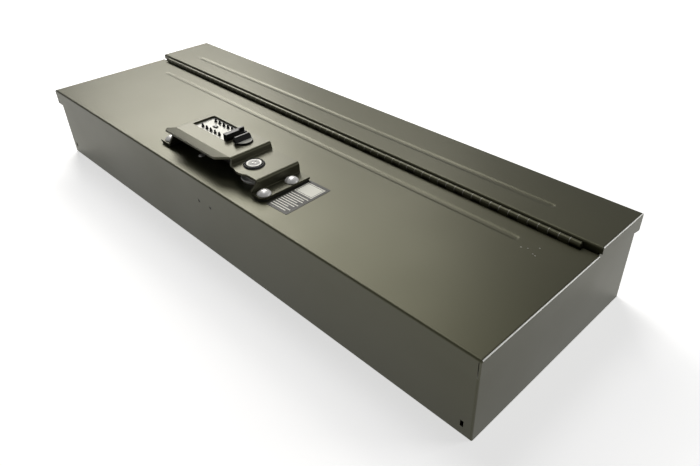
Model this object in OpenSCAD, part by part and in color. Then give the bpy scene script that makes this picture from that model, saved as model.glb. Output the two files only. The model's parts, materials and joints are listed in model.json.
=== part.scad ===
// Long sheet-steel lock box: a tray body with a fixed rear panel, a piano-hinged lid, and on the
// lid a bent bracket that carries a push-button combination lock and a key-operated cam lock.
// Millimetres. +X runs along the box, +Y to the back, +Z up. Origin: middle of the bottom face.

/* [Box] */
// Overall length of the box, over the lid flanges
box_l = 870; // [760:10:1000]
// Overall depth of the box, from the lid's front flange to the rear panel's back flange
box_d = 296; // [290:1:330]
// Height of the lid's top face
lid_h = 113; // [100:1:150]
// Height of the fixed rear panel above the lid
step_h = 8; // [7.6:0.1:9]
// Depth of the fixed rear panel
rear_d = 91; // [80:1:100]
// Thickness of the sheet steel
sheet = 1.5; // [1.2:0.1:1.8]
// Outside radius of the sheet's folds
fold_r = 2.5; // [2:0.1:3.5]
// Depth of the down-turned flanges on the lid and the rear panel
flange_h = 23; // [20:1:30]
// Clear gap between the lid's flanges and the body's walls
wall_gap = 1.5; // [1:0.1:2.5]
// Clear gap between the lid and the body's top edges
seat_gap = 0.3; // [0.2:0.1:0.6]
// Width of the body's inward return along the front
front_return = 14; // [12:0.5:16]
// Width of the body's inward returns along the sides and the back
side_return = 10; // [6:0.5:12]
// Width of the relief slit at the lid's front corners
corner_slit = 0.8; // [0.5:0.1:1.5]

/* [Stiffening beads] */
// Width of a bead at the surface
bead_w = 10; // [8:0.5:14]
// Depth of a bead
bead_depth = 1.2; // [0.8:0.1:2]
// Distance from the left end of the box to the beads
bead_left = 67; // [50:1:120]
// Distance from the right end of the box to the beads
bead_right = 77; // [50:1:120]
// Distance from the hinge face to the lid's bead
lid_bead_back = 35; // [25:1:60]
// Distance from the hinge face to the rear panel's bead
rear_bead_back = 35; // [20:1:50]

/* [Piano hinge] */
// Length of one knuckle
knuckle_l = 12.7; // [10:0.1:20]
// Number of knuckles, an odd number
knuckles = 65; // [45:2:65]
// Outside radius of the knuckles
knuckle_r = 3.5; // [3.3:0.1:3.7]
// Radius of the hinge pin
pin_r = 1.6; // [1.2:0.1:1.8]
// Radial clearance of the pin in the knuckles
pin_fit = 0.05; // [0.02:0.01:0.1]
// Gap between two knuckles, along the pin
knuckle_gap = 0.3; // [0.2:0.05:0.6]
// Gap between the knuckles and the rear panel
barrel_gap = 0.3; // [0.2:0.05:0.5]
// Height of the hinge pin's axis above the lid
pin_rise = 3.1; // [2.8:0.1:3.2]
// Height of a hinge leaf below the pin
leaf_h = 20; // [14:1:24]

/* [Body slots and catch] */
// Distance of the weld slots in the front wall from the ends of the box
slot_end = 15.5; // [12:0.5:30]
// Height of the weld slots' centres
slot_z = 16.5; // [12:0.5:30]
// Width of a weld slot
slot_w = 4; // [2:0.5:6]
// Height of a weld slot
slot_h = 8; // [4:0.5:12]
// Distance between the two catch rivets
catch_pitch = 26; // [20:1:34]
// Depth of the catch rivets below the lid's top face
catch_drop = 36; // [32:1:42]

/* [Lock bracket] */
// Thickness of the bracket plate
plate_t = 3; // [2.5:0.1:3.2]
// Middle radius of the bracket's bends
plate_bend_r = 2.4; // [2.2:0.1:3]
// Distance from the front of the box to the bracket's feet
bracket_front = 23.7; // [23:0.1:26]
// Width of the bracket across its feet
bracket_w = 73.6; // [73:0.2:78]
// Thickness of the gasket under a foot
gasket_t = 2; // [1:0.5:2.5]
// Set-back of the raised part's front edge behind the feet
raised_back = 9.5; // [8:0.5:11]
// Set-back of the platform's fold behind the feet
fold_back = 12.4; // [12:0.2:14]
// Height of the key-lock step above the lid
key_step_h = 19; // [18:0.5:21]
// Height of the keypad platform above the lid
platform_h = 28; // [27.5:0.5:30]
// Left end of the left foot, from the knob's axis
foot_left = 128.5; // [128:0.5:132]
// Left leg at the foot, from the knob's axis
leg_foot_x = 107; // [106:0.2:107.4]
// Left leg at the platform, from the knob's axis
leg_top_x = 102.4; // [102:0.2:104]
// Upper riser at the platform, from the knob's axis
riser_a_top = 25.6; // [25:0.2:26.4]
// Upper riser at the key-lock step, from the knob's axis
riser_a_foot = 27.6; // [26.8:0.2:28.4]
// Lower riser at the key-lock step, from the knob's axis
riser_b_top = 81; // [80:0.1:81.3]
// Lower riser at the right foot, from the knob's axis
riser_b_foot = 81.2; // [80:0.1:81.3]
// Right end of the right foot, from the knob's axis
foot_right = 101.4; // [101.2:0.2:102.4]
// Slope of the platform's front lip, in degrees
lip_slope = 14; // [10:1:16]
// Reach of the front lip in front of its fold
lip_l = 11.4; // [10:0.2:13]
// Widening of the lip's left end, at its outermost point
lip_flare = 12.4; // [8:0.2:13]
// Reach of that point in front of the fold
lip_flare_l = 7.6; // [5:0.2:9]
// Radius of the lip's right corner
lip_r = 12; // [8:0.5:14]
// Slant of the lip's right end, in degrees
lip_turn = 30; // [26:1:40]
// Radius of the ear of the key-lock step, round the lock
ear_r = 25.7; // [24.5:0.1:27]

/* [Bracket bolts] */
// Distance between the two bolts of a foot
bolt_pitch = 42; // [40:0.5:44]
// Distance from the bracket's front edge to the first bolt
bolt_front = 10.2; // [10:0.1:12]
// Left bolts, from the knob's axis
bolt_left_x = 118.2; // [118:0.1:118.6]
// Right bolts, from the knob's axis
bolt_right_x = 92.4; // [92.3:0.1:92.7]
// Diameter of a bolt's domed head
head_d = 17.4; // [16:0.1:17.6]
// Height of the dome of a bolt's head
head_h = 4.5; // [4:0.1:5.5]
// Height of the straight rim under the dome
head_rim = 1.1; // [0.5:0.1:1.5]
// Diameter of a bolt's shank
shank_d = 7.9; // [7:0.1:8]
// Length of a bolt below its head
bolt_l = 18; // [16:0.5:20]

/* [Combination lock] */
// Distance from the front of the box to the knob's axis
knob_back = 74; // [73:0.5:74.5]
// Diameter of the knob's disc
knob_d = 25; // [22:0.5:27]
// Thickness of the knob's disc
knob_disc_t = 2.2; // [1.5:0.1:3]
// Length of the knob's blade
blade_l = 24; // [18:0.5:25]
// Distance of the blade's middle in front of the knob's axis
blade_shift = 1.5; // [0:0.1:2]
// Thickness of the knob's blade at its top
blade_t = 3; // [2:0.1:4]
// Thickness of the knob's blade at its foot
blade_foot = 8; // [5:0.5:10]
// Height of the knob's blade above the disc
blade_h = 7; // [5:0.5:10]
// Left edge of the window, from the knob's axis
window_left = 95.5; // [95:0.5:96]
// Right edge of the window, from the knob's axis
window_right = 14.2; // [14:0.1:15]
// Depth of the window, front to back
window_w = 34.8; // [34:0.2:35.4]
// Distance from the front of the box to the window
window_front = 57.7; // [57.4:0.1:58]
// Radius of the window's corners
window_r = 2.5; // [1:0.5:4]
// Height of the lock case below the platform
case_h = 20; // [18:0.5:21]
// Thickness of the case's walls
case_wall = 2.4; // [2:0.1:3]
// Thickness of the face panel
panel_t = 2; // [1.6:0.1:2.5]
// Height of the guard ridge above the platform
ridge_h = 8; // [5:0.5:9]
// Width of the guard ridge at its top
ridge_w = 6.8; // [5:0.1:8]
// Diameter of the case screws
case_screw_d = 3; // [2.5:0.1:3.2]

/* [Push buttons] */
// Number of buttons in a row
buttons_in_row = 5; // [5:1:5]
// Distance between buttons in a row
button_pitch = 9.8; // [8.5:0.1:10]
// Distance between the two rows
row_pitch = 20.6; // [18:0.1:22]
// Shift of the two rows towards the front, from the window's middle
row_shift = -0.4; // [-1:0.1:2]
// Leftmost button, from the knob's axis
button_left = 81.9; // [80:0.1:85]
// Diameter of a button's foot, in the face panel
button_d = 4.2; // [4:0.1:6]
// Diameter of a button's post at its tip
button_tip_d = 2.6; // [2:0.1:3.2]
// Height of a button above the face panel
button_h = 5; // [4:0.1:6]
// Travel of a button
button_travel = 1.5; // [1:0.1:2]
// Radial clearance of a button in the panel
button_fit = 0.06; // [0.03:0.01:0.1]
// Diameter of the wire of a button's spring
spring_wire = 0.5; // [0.4:0.05:0.6]

/* [Clear slide] */
// Length of the clear slide's tab
tab_l = 7; // [5:0.5:9]
// Width of the clear slide's tab
tab_w = 4.6; // [3:0.1:6]
// Height of the clear slide's tab
tab_h = 1.4; // [1:0.1:2.5]
// Travel of the clear slide
tab_travel = 3; // [2:0.5:4]

/* [Slide bolt] */
// Radius of the drive pin's circle
crank_r = 12; // [10:0.5:12]
// Width of the slide bolt
slide_w = 34; // [32:0.5:36]
// Thickness of the slide bolt
slide_t = 3; // [2.5:0.1:3]
// Length of the slide bolt
slide_l = 66; // [64:0.5:68]
// Thickness of the bolt guide's sheet
guide_t = 1.2; // [1:0.1:1.5]
// Running clearance of the slide bolt
slide_fit = 0.3; // [0.25:0.05:0.4]
// Clearance of the drive pin in its slot
crank_fit = 0.5; // [0.45:0.05:0.7]

/* [Key lock] */
// Distance of the key lock from the knob's axis, along the box
key_x = 47; // [46:0.5:49]
// Distance from the front of the box to the key lock
key_back = 55; // [54:0.5:57]
// Diameter of the key lock's bezel at its foot
bezel_foot_d = 27.4; // [26:0.2:28]
// Diameter of the bezel's flat top
bezel_d = 24; // [22:0.2:25.4]
// Height of the bezel
bezel_h = 2.4; // [1.6:0.1:3]
// Diameter of the lock's barrel
barrel_d = 19; // [18:0.1:19.2]
// Width of the barrel across its two flats
barrel_flats = 16; // [15:0.1:17]
// Diameter of the turning plug
plug_d = 11; // [10:0.1:12]
// Length of the barrel below the bezel
barrel_l = 28.6; // [28:0.1:29.2]
// Length of the cam from its axis
cam_l = 46; // [44:0.5:47]
// Width of the cam
cam_w = 14; // [12:0.5:16]
// Thickness of the cam
cam_t = 3; // [2.5:0.1:3.2]
// Radius of the guard collar's rim
collar_r = 18.5; // [16:0.5:20]
// Radius of the guard collar's foot, on the lid
collar_foot_r = 16.8; // [14:0.2:17]
// Height of the guard collar
collar_h = 4; // [3:0.5:8]

/* [Information label] */
// Length of the label, front to back
label_l = 71; // [60:1:80]
// Width of the label
label_w = 36.5; // [30:0.5:37]
// Thickness of the label
label_t = 0.3; // [0.2:0.05:0.5]
// Distance of the label's middle from the knob's axis
label_x = 121.4; // [121:0.2:124]
// Turn of the label on the lid, in degrees
label_turn = 2; // [0:0.5:3]
// Distance of the label's middle behind the middle of the feet
label_back = 2; // [0:0.5:3]

/* [Hidden] */
$fn = 64;
eps = 0.01;
far = 400;
bend_step = 9;
coil_steps = 12;

// Faces of the box
x_end = box_l / 2;
y_front = -box_d / 2;
y_back = box_d / 2;
lid_under = lid_h - sheet;
rear_top = lid_h + step_h;
rear_under = rear_top - sheet;
y_rear = y_back - rear_d;

// Body walls, outside faces
inset = sheet + wall_gap;
wall_x = x_end - inset;
wall_front = y_front + inset;
wall_back = y_back - sheet;
rim_z = lid_under - seat_gap;
rim_back = y_rear + sheet + 2;

// Hinge
hinge_l = knuckles * knuckle_l;
pin_y = y_rear - barrel_gap - knuckle_r;
pin_z = lid_h + pin_rise;
lid_leaf_y = pin_y - knuckle_r;
leaf_end = hinge_l / 2 + 2;
ear_gap = 3.3;
lid_ear_y = y_rear - ear_gap;

// Bracket levels and edges
foot_y0 = y_front + bracket_front;
foot_y1 = foot_y0 + bracket_w;
raised_y = foot_y0 + raised_back;
fold_y = foot_y0 + fold_back;
lip_root = 3;
foot_under = lid_h + gasket_t;
foot_top = foot_under + plate_t;
key_step_top = lid_h + key_step_h;
key_step_under = key_step_top - plate_t;
platform_top = lid_h + platform_h;
platform_under = platform_top - plate_t;
bolt_y = [foot_y0 + bolt_front, foot_y0 + bolt_front + bolt_pitch];
bolt_spots = [for (x = [-bolt_left_x, bolt_right_x]) for (y = bolt_y) [x, y]];
flat_x0 = -leg_top_x + plate_bend_r;
flat_x1 = riser_a_top - plate_bend_r + 0.6;
foot_corner_r = 8;
leg_back = 5.5;
neck = shank_d + 0.1;
neck_fit = 0.1;
washer_r = 9;
washer_t = 1.6;
nut_h = 6.5;
nut_r = 7.5;

// Combination lock
knob_y = y_front + knob_back;
window_y0 = y_front + window_front;
window_y1 = window_y0 + window_w;
panel_top = platform_under;
panel_under = panel_top - panel_t;
case_bottom = platform_under - case_h;
case_x0 = -leg_top_x + 3.5;
case_x1 = riser_a_top - 4.7;
case_y0 = window_y0 - 9.2;
case_y1 = foot_y1 - 0.2;
cover_t = 1.5;
screw_spots = [for (x = [case_x0 + 8, case_x1 - 6.5]) for (y = [case_y0 + 4, (window_y1 + foot_y1) / 2]) [x, y]];
screw_bite = 2;
row_mid = (window_y0 + window_y1) / 2 - row_shift;
guide_z = panel_under - 10;
guide_plate_t = 1.5;
stem_r = 1.2;
collar_t = 1.2;
flange_r = button_d / 2 + 0.9;
flange_gap = 0.1;
spindle_r = 4;
spindle_fit = 0.06;
ridge_x1 = -window_right - 0.5;
ridge_x0 = ridge_x1 - ridge_w - 2.6;
tab_x = -button_left + 1.34 * button_pitch;
tab_y = row_mid + 1;

// Slide bolt, from the lid downwards
crank_t = 3;
crank_top = lid_under - 0.2;
crank_under = crank_top - crank_t;
slide_top = crank_under - 0.4;
slide_under = slide_top - slide_t;
guide_floor = slide_under - slide_fit;
crank_disc_r = 15;
crank_pin_r = 2;
crank_y = crank_r * sin(45);
slide_travel = 2 * crank_y;
slide_tip = wall_front + front_return + 7;
slide_rear = slide_tip + slide_l;
slot_y = knob_y + crank_y;
guide_y0 = slide_tip + 2;
guide_y1 = slide_rear + 4;
guide_in = slide_w / 2 + slide_fit;
guide_out = guide_in + guide_t;
guide_left = 61;
guide_right = 33;
rivet_in = 6;
rivet_back = knob_y + 3;
rivet_front_left = knob_y - 33;
rivet_front_right = knob_y - 24.5;
rivet_spots = [[-guide_left + rivet_in, rivet_front_left], [-guide_left + rivet_in, rivet_back],
               [guide_right - rivet_in - 3.5, rivet_front_right], [guide_right - rivet_in, rivet_back]];
rivet_r = 2;
rivet_head_r = 4.5;
rivet_head_h = 2.2;

// Key lock
key_y = y_front + key_back;
barrel_end = key_step_top - barrel_l;
barrel_fit = 0.1;
plug_fit = 0.05;
cam_top = barrel_end - 0.4;
cam_under = cam_top - cam_t;
tail = 7;
tail_fit = 0.05;
key_nut_h = 3;
key_nut_r = 14;

// Catch on the front wall
catch_half = slide_w / 2 + 7;
catch_t = sheet;
catch_in = wall_front + sheet + catch_t;
catch_bottom = lid_h - catch_drop - 11;
catch_lip_z = rim_z - sheet - catch_t;
catch_y1 = wall_front + front_return + sheet;
key_lip_z = cam_top + 0.3;
key_lip_x = [key_x - 10, key_x + 10];

STEEL_PAINT = [0.25, 0.25, 0.21];
DARK_PAINT = [0.20, 0.20, 0.17];
BRIGHT = [0.80, 0.80, 0.78];
ZINC = [0.62, 0.62, 0.60];
BLACK = [0.07, 0.07, 0.07];

// ---- Shapes that more than one piece uses ----

// A block, given by two opposite corners
module span(a, b) translate(a) cube(b - a);

// A flat outline with round top corners, from x0 to x1 and from y0 up to y1
module arched(x0, x1, y0, y1, r) {
    translate([x0, y0]) square([x1 - x0, y1 - y0 - r]);
    translate([x0 + r, y0]) square([x1 - x0 - 2 * r, y1 - y0]);
    for (x = [x0 + r, x1 - r]) translate([x, y1 - r]) circle(r);
}

// Draws its flat child in the Y-Z plane and carries it along X
module along_x(x0, x1) translate([x0, 0, 0]) rotate([90, 0, 90]) linear_extrude(x1 - x0) children();

// Draws its flat child in the X-Z plane and carries it along Y
module along_y(y0, y1) translate([0, y1, 0]) rotate([90, 0, 0]) linear_extrude(y1 - y0) children();

// A block whose top edges are rounded on all four sides
module domed_block(x0, x1, y0, y1, z0, z1, r) {
    intersection() {
        along_x(x0, x1) arched(y0, y1, z0, z1, r);
        along_y(y0, y1) arched(x0, x1, z0, z1, r);
    }
}

// A pan turned upside down: a top with flanges folded down all round
module folded_pan(x0, x1, y0, y1, top, depth) {
    difference() {
        domed_block(x0, x1, y0, y1, top - depth, top, fold_r);
        domed_block(x0 + sheet, x1 - sheet, y0 + sheet, y1 - sheet, top - depth - 1, top - sheet,
                    fold_r - sheet);
    }
}

// Long tapered form of a bead, with its wide face at z = 0 and its flat floor below
module bead(x0, x1, y, w, depth) {
    half = w / 2;
    floor_half = half - 1.6 * depth;
    along = [[y - half, 0], [y - floor_half, -depth], [y + floor_half, -depth], [y + half, 0]];
    along_x(x0 + half, x1 - half) polygon(along);
    for (x = [x0 + half, x1 - half]) translate([x, y, -depth]) cylinder(h = depth, r1 = floor_half, r2 = half);
}

// A bead pressed down into a panel: the groove on top ...
module bead_groove(y, top) {
    translate([0, 0, top]) bead(-x_end + bead_left, x_end - bead_right, y, bead_w, bead_depth);
    translate([0, 0, top - eps]) bead_rim(y);
}

// ... with a thin cut over it, so that the groove opens cleanly
module bead_rim(y) {
    half = bead_w / 2;
    x0 = -x_end + bead_left + half;
    x1 = x_end - bead_right - half;
    span([x0, y - half, 0], [x1, y + half, 1]);
    for (x = [x0, x1]) translate([x, y, 0]) cylinder(h = 1, r = half);
}

// ... and the ridge that it leaves underneath
module bead_ridge(y, under) {
    translate([0, 0, under + eps]) bead(-x_end + bead_left - 0.6, x_end - bead_right + 0.6, y, bead_w + 1.2, bead_depth + eps);
}

// ---- A strip of plate bent along a flat path ----

function along(a) = [cos(a), sin(a)];
function left_of(a) = [-sin(a), cos(a)];
function heading(p, i) = atan2(p[i + 1][1] - p[i][1], p[i + 1][0] - p[i][0]);
function turn_at(p, i) = heading(p, i) - heading(p, i - 1);

// Centre of the bend at point i, for a middle radius of r
function bend_centre(p, i, r) =
    p[i] - r * tan(abs(turn_at(p, i)) / 2) * along(heading(p, i - 1)) + sign(turn_at(p, i)) * r * left_of(heading(p, i - 1));

// Points round the bend at point i, off to the left of the path
function bend_points(p, i, off, r) =
    let (steps = ceil(abs(turn_at(p, i)) / bend_step), out = off - sign(turn_at(p, i)) * r)
    [for (k = [0 : steps]) bend_centre(p, i, r) + out * left_of(heading(p, i - 1) + turn_at(p, i) * k / steps)];

// One long edge of the strip
function strip_edge(p, off, r) = let (last = len(p) - 1) concat(
    [p[0] + off * left_of(heading(p, 0))],
    [for (i = [1 : last - 1]) for (q = bend_points(p, i, off, r)) q],
    [p[last] + off * left_of(heading(p, last - 1))]);

function backwards(list) = [for (i = [len(list) - 1 : -1 : 0]) list[i]];

// The strip's outline, for a thickness of t and bends with a middle radius of r
module bent_strip(p, t, r) polygon(concat(strip_edge(p, t / 2, r), backwards(strip_edge(p, -t / 2, r))));

// A flat outline of a rectangle with one corner radius for all corners
module rounded_rect(x0, x1, y0, y1, r) {
    translate([x0 + r, y0]) square([x1 - x0 - 2 * r, y1 - y0]);
    translate([x0, y0 + r]) square([x1 - x0, y1 - y0 - 2 * r]);
    for (x = [x0 + r, x1 - r]) for (y = [y0 + r, y1 - r]) translate([x, y]) circle(r);
}

// A domed head on a flat base of radius r and height h
module dome(r, h) {
    ball = (r * r + h * h) / (2 * h);
    intersection() {
        translate([0, 0, h - ball]) sphere(ball, $fn = 96);
        cylinder(h = h + 1, r = r);
    }
}

// ---- Body ----

// The side view of the body: low under the lid and high under the rear panel
module body_profile(shrink) {
    f = wall_front + shrink;
    b = wall_back - shrink;
    polygon([[f, shrink], [b, shrink], [b, rear_under - shrink], [rim_back + shrink, rear_under - shrink],
             [rim_back + shrink, rim_z - shrink], [f, rim_z - shrink]]);
}

module body_tub() color(STEEL_PAINT) {
    difference() {
        intersection() {
            along_x(-wall_x, wall_x) body_profile(0);
            linear_extrude(rear_top) rounded_rect(-wall_x, wall_x, wall_front, wall_back, fold_r);
            along_x(-wall_x, wall_x) mirror([0, 1]) translate([0, -rear_top])
                arched(wall_front, wall_back, 0, rear_top, fold_r);
            along_x(-wall_x, wall_x) arched(wall_front, wall_back, 0, rear_under, fold_r);
        }
        along_x(-wall_x + sheet, wall_x - sheet) body_profile(sheet);
        span([-wall_x + side_return, wall_front + front_return, lid_h / 2],
             [wall_x - side_return, rim_back + 2 * sheet, rear_top]);
        span([-wall_x + side_return, rim_back, lid_h / 2], [wall_x - side_return, wall_back - side_return, rear_top]);
        span([-wall_x + sheet, pin_y - 12, rim_z - sheet - 1], [wall_x - sheet, rim_back + 2 * sheet, rear_top]);
        for (x = [-x_end + slot_end, x_end - slot_end])
            translate([x, wall_front + sheet / 2, slot_z]) cube([slot_w, 3 * sheet, slot_h], center = true);
        for (x = [-1, 1] * catch_pitch / 2)
            translate([x, wall_front - 1, lid_h - catch_drop]) rotate([-90, 0, 0]) cylinder(h = sheet + 2, r = rivet_r + 0.05);
    }
}

// The side flange of the rear panel rises towards the front
module rear_flange_cut() {
    low = rear_top - flange_h;
    along_x(-x_end - 1, x_end + 1)
        polygon([[y_rear - 1, low - 2], [y_back - sheet - 1, low - 2], [y_back - sheet - 1, low],
                 [y_rear + 1.5 * flange_h / 3, lid_h], [y_rear - 1, lid_h]]);
}

module rear_top_panel() color(STEEL_PAINT) {
    bead_y = y_rear + rear_bead_back;
    flange_low = rear_top - flange_h - 3;
    difference() {
        union() {
            difference() {
                folded_pan(-x_end, x_end, y_rear, y_back, rear_top, flange_h);
                difference() {
                    rear_flange_cut();
                    span([-wall_x + 2 * sheet, y_rear - 2, 0], [wall_x - 2 * sheet, y_rear + 2 * sheet, rear_top]);
                }
            }
            span([-wall_x + 2 * sheet, y_rear, flange_low], [wall_x - 2 * sheet, y_rear + sheet, rear_under - 1]);
            bead_ridge(bead_y, rear_under);
        }
        bead_groove(bead_y, rear_top);
    }
}

module front_catch() color(DARK_PAINT) {
    difference() {
        union() {
            span([-catch_half, wall_front + sheet, catch_bottom], [catch_half, catch_in, rim_z - sheet]);
            span([-catch_half, wall_front + sheet, catch_lip_z], [catch_half, catch_y1, rim_z - sheet]);
            span([catch_half - eps, wall_front + sheet, catch_bottom], [key_lip_x[1], catch_in, key_lip_z + catch_t]);
            span([key_lip_x[0], wall_front + sheet, key_lip_z], [key_lip_x[1], catch_y1, key_lip_z + catch_t]);
        }
        for (x = [-1, 1] * catch_pitch / 2)
            translate([x, wall_front, lid_h - catch_drop]) rotate([-90, 0, 0]) cylinder(h = 4 * sheet, r = rivet_r + 0.05);
    }
}

module catch_rivets() color(DARK_PAINT) {
    for (x = [-1, 1] * catch_pitch / 2) translate([x, 0, lid_h - catch_drop]) rotate([-90, 0, 0]) {
        translate([0, 0, wall_front + 0.4]) cylinder(h = catch_in - wall_front - 0.4, r = rivet_r);
        translate([0, 0, catch_in]) dome(rivet_head_r - 0.8, rivet_head_h - 0.4);
    }
}

// ---- Piano hinge ----

// Knuckles of one leaf: every second one, starting at number first
module knuckle_row(first) {
    for (k = [first : 2 : knuckles - 1])
        translate([-hinge_l / 2 + k * knuckle_l + knuckle_gap / 2, pin_y, pin_z]) rotate([0, 90, 0])
            cylinder(h = knuckle_l - knuckle_gap, r = knuckle_r);
}

// One leaf with its knuckles. y0 is the leaf's front face
module hinge_leaf(first, y0) {
    top = pin_z - knuckle_r - 0.4;
    difference() {
        union() {
            span([-hinge_l / 2, y0, pin_z - leaf_h], [hinge_l / 2, y0 + sheet, top]);
            for (k = [first : 2 : knuckles - 1]) {
                x = -hinge_l / 2 + k * knuckle_l + knuckle_gap / 2;
                span([x, y0, top - eps], [x + knuckle_l - knuckle_gap, y0 + sheet, pin_z]);
            }
            knuckle_row(first);
        }
        translate([-hinge_l, pin_y, pin_z]) rotate([0, 90, 0]) cylinder(h = 2 * hinge_l, r = pin_r + pin_fit);
    }
}

module hinge_leaf_fixed() color(STEEL_PAINT) hinge_leaf(0, y_rear - sheet);

module hinge_leaf_lid() color(STEEL_PAINT) hinge_leaf(1, lid_leaf_y);

module hinge_pin() color(DARK_PAINT)
    translate([-hinge_l / 2 + 0.5, pin_y, pin_z]) rotate([0, 90, 0]) cylinder(h = hinge_l - 1, r = pin_r);

// ---- Lid ----

// The rear ends of the side flanges are cut back on a slant
module lid_flange_cut() {
    low = lid_h - flange_h;
    along_x(-x_end - 1, x_end + 1)
        polygon([[lid_ear_y - 10, low - 1], [lid_ear_y + 1, low - 1], [lid_ear_y + 1, lid_h - fold_r - 1], [lid_ear_y - 1, lid_h - fold_r - 1]]);
}

module lid() color(STEEL_PAINT) {
    bead_y = y_rear - lid_bead_back;
    low = lid_h - flange_h;
    difference() {
        union() {
            difference() {
                folded_pan(-x_end, x_end, y_front, lid_ear_y + 10, lid_h, flange_h);
                span([-far * 2, lid_ear_y, 0], [far * 2, far, lid_h + 1]);
                span([-leaf_end, lid_leaf_y - fold_r, 0], [leaf_end, far, lid_h + 1]);
                lid_flange_cut();
            }
            along_x(-leaf_end, leaf_end) lid_rear_fold();
            bead_ridge(bead_y, lid_under);
        }
        bead_groove(bead_y, lid_h);
        for (side = [-1, 1]) translate([side * (x_end - fold_r - corner_slit / 2), y_front, low + flange_h / 2 - fold_r])
            cube([corner_slit, 2 * fold_r, flange_h + eps], center = true);
        for (p = bolt_spots) translate([p[0], p[1], 0]) cylinder(h = far, r = shank_d / 2 + 0.3);
        for (p = rivet_spots) translate([p[0], p[1], 0]) cylinder(h = far, r = rivet_r + 0.05);
        translate([0, knob_y, 0]) cylinder(h = far, r = spindle_r + 1);
        translate([key_x, key_y, 0]) cylinder(h = far, r = barrel_d / 2 + 0.5);
    }
}

// The fold that turns the lid's rear edge down in front of the hinge
module lid_rear_fold() {
    y = lid_leaf_y;
    translate([y - sheet, lid_h - flange_h]) square([sheet, flange_h - fold_r]);
    translate([y - fold_r - 1, lid_under]) square([1 + eps, sheet]);
    intersection() {
        translate([y - fold_r, lid_h - fold_r]) difference() {
            circle(fold_r);
            circle(fold_r - sheet);
        }
        translate([y - fold_r, lid_h - fold_r]) square(fold_r + 1);
    }
}

// ---- Lock bracket ----

bracket_path = [[-foot_left, foot_under + plate_t / 2], [-leg_foot_x, foot_under + plate_t / 2],
                [-leg_top_x, platform_top - plate_t / 2], [riser_a_top, platform_top - plate_t / 2],
                [riser_a_foot, key_step_top - plate_t / 2], [riser_b_top, key_step_top - plate_t / 2],
                [riser_b_foot, foot_under + plate_t / 2], [foot_right, foot_under + plate_t / 2]];

// What is cut off in front of the raised part, sloping in from the feet up to the platform:
// the right-hand steps first, then the left leg
module raised_cut() {
    y = foot_y0 - 1;
    z = platform_top + 1;
    along_x(-leg_top_x / 2, riser_b_foot + 6)
        polygon([[y, foot_top + 3], [foot_y0, foot_top + 3], [raised_y, key_step_under], [raised_y, key_step_top - 1],
                 [fold_y, platform_under], [fold_y, z], [y, z]]);
    along_x(-leg_foot_x - 6, -leg_top_x / 2 + eps)
        polygon([[y, foot_top + 1], [foot_y0, foot_top + 1], [foot_y0 + leg_back, key_step_under],
                 [fold_y, platform_under], [fold_y, z], [y, z]]);
    span([flat_x0, y, platform_under - plate_bend_r], [flat_x1, fold_y + lip_root, z]);
}

// The lip seen from above: its left end grows wider to the front and has its corner cut off, and
// its right corner is rounded into a slanting edge that runs back to the fold
module lip_outline() {
    rise = lip_r * (1 - cos(lip_turn));
    arc_x = flat_x1 - lip_r * sin(lip_turn) - (lip_l - rise) / tan(lip_turn);
    arc = [for (a = [0 : lip_turn / 5 : lip_turn]) [arc_x + lip_r * sin(a), -lip_l + lip_r * (1 - cos(a))]];
    corner_x = flat_x0 - lip_flare + 0.3 * (lip_l - lip_flare_l);
    polygon(concat([[flat_x0, lip_root + 1], [flat_x0, 0], [flat_x0 - lip_flare, -lip_flare_l], [corner_x, -lip_l]],
                   arc, [[flat_x1, 0], [flat_x1, lip_root + 1]]));
}

// The lip that slopes down from the platform's front edge, with the fold at its root
module front_lip() {
    middle = platform_top - plate_t / 2;
    reach = 2 * lip_l;
    intersection() {
        along_x(-foot_left, foot_right)
            bent_strip([[fold_y - reach * cos(lip_slope), middle - reach * sin(lip_slope)], [fold_y, middle],
                        [fold_y + lip_root + 2, middle]], plate_t, plate_bend_r);
        translate([0, fold_y, platform_under - lip_l]) linear_extrude(2 * lip_l) lip_outline();
    }
}

module lock_bracket() color(STEEL_PAINT) {
    difference() {
        union() {
            difference() {
                along_y(foot_y0, foot_y1) bent_strip(bracket_path, plate_t, plate_bend_r);
                raised_cut();
            }
            front_lip();
            intersection() {
                translate([key_x, key_y, key_step_under]) cylinder(h = plate_t, r = ear_r);
                span([riser_a_foot + 4, foot_y0, 0], [riser_b_top - 4, key_y, far]);
            }
        }
        foot_corner_cut();
        for (p = bolt_spots)
            translate([p[0], p[1], foot_under]) cube([neck + 2 * neck_fit, neck + 2 * neck_fit, 3 * plate_t], center = true);
        translate([0, 0, platform_under - 1]) linear_extrude(plate_t + 2)
            rounded_rect(-window_left, -window_right, window_y0, window_y1, window_r);
        translate([0, knob_y, platform_under - 1]) cylinder(h = plate_t + 2, r = spindle_r + 2);
        translate([key_x, key_y, key_step_under - 1]) barrel_shape(plate_t + 2, barrel_fit);
        for (p = screw_spots) translate([p[0], p[1], platform_under - 1]) cylinder(h = screw_bite + 1.2, r = case_screw_d / 2 + 0.05);
    }
}

// Rounds the right foot's front corner
module foot_corner_cut() {
    x = foot_right - foot_corner_r;
    y = foot_y0 + foot_corner_r;
    difference() {
        span([x, foot_y0 - 1, lid_h - 1], [foot_right + 1, y, foot_top + 1]);
        translate([x, y, lid_h - 2]) cylinder(h = gasket_t + plate_t + 4, r = foot_corner_r);
    }
}

// The gaskets that the two feet press on the lid
module foot_gaskets() color(BLACK) {
    back = 0.8;
    difference() {
        union() {
            span([-foot_left + back, foot_y0 + back, lid_h], [-leg_foot_x - plate_bend_r, foot_y1 - back, foot_under]);
            span([riser_b_foot + plate_bend_r, foot_y0 + back, lid_h], [foot_right - back, foot_y1 - back, foot_under]);
        }
        translate([-back, back, 0]) foot_corner_cut();
        for (p = bolt_spots) translate([p[0], p[1], 0]) cylinder(h = far, r = shank_d / 2 + 0.3);
    }
}

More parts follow.
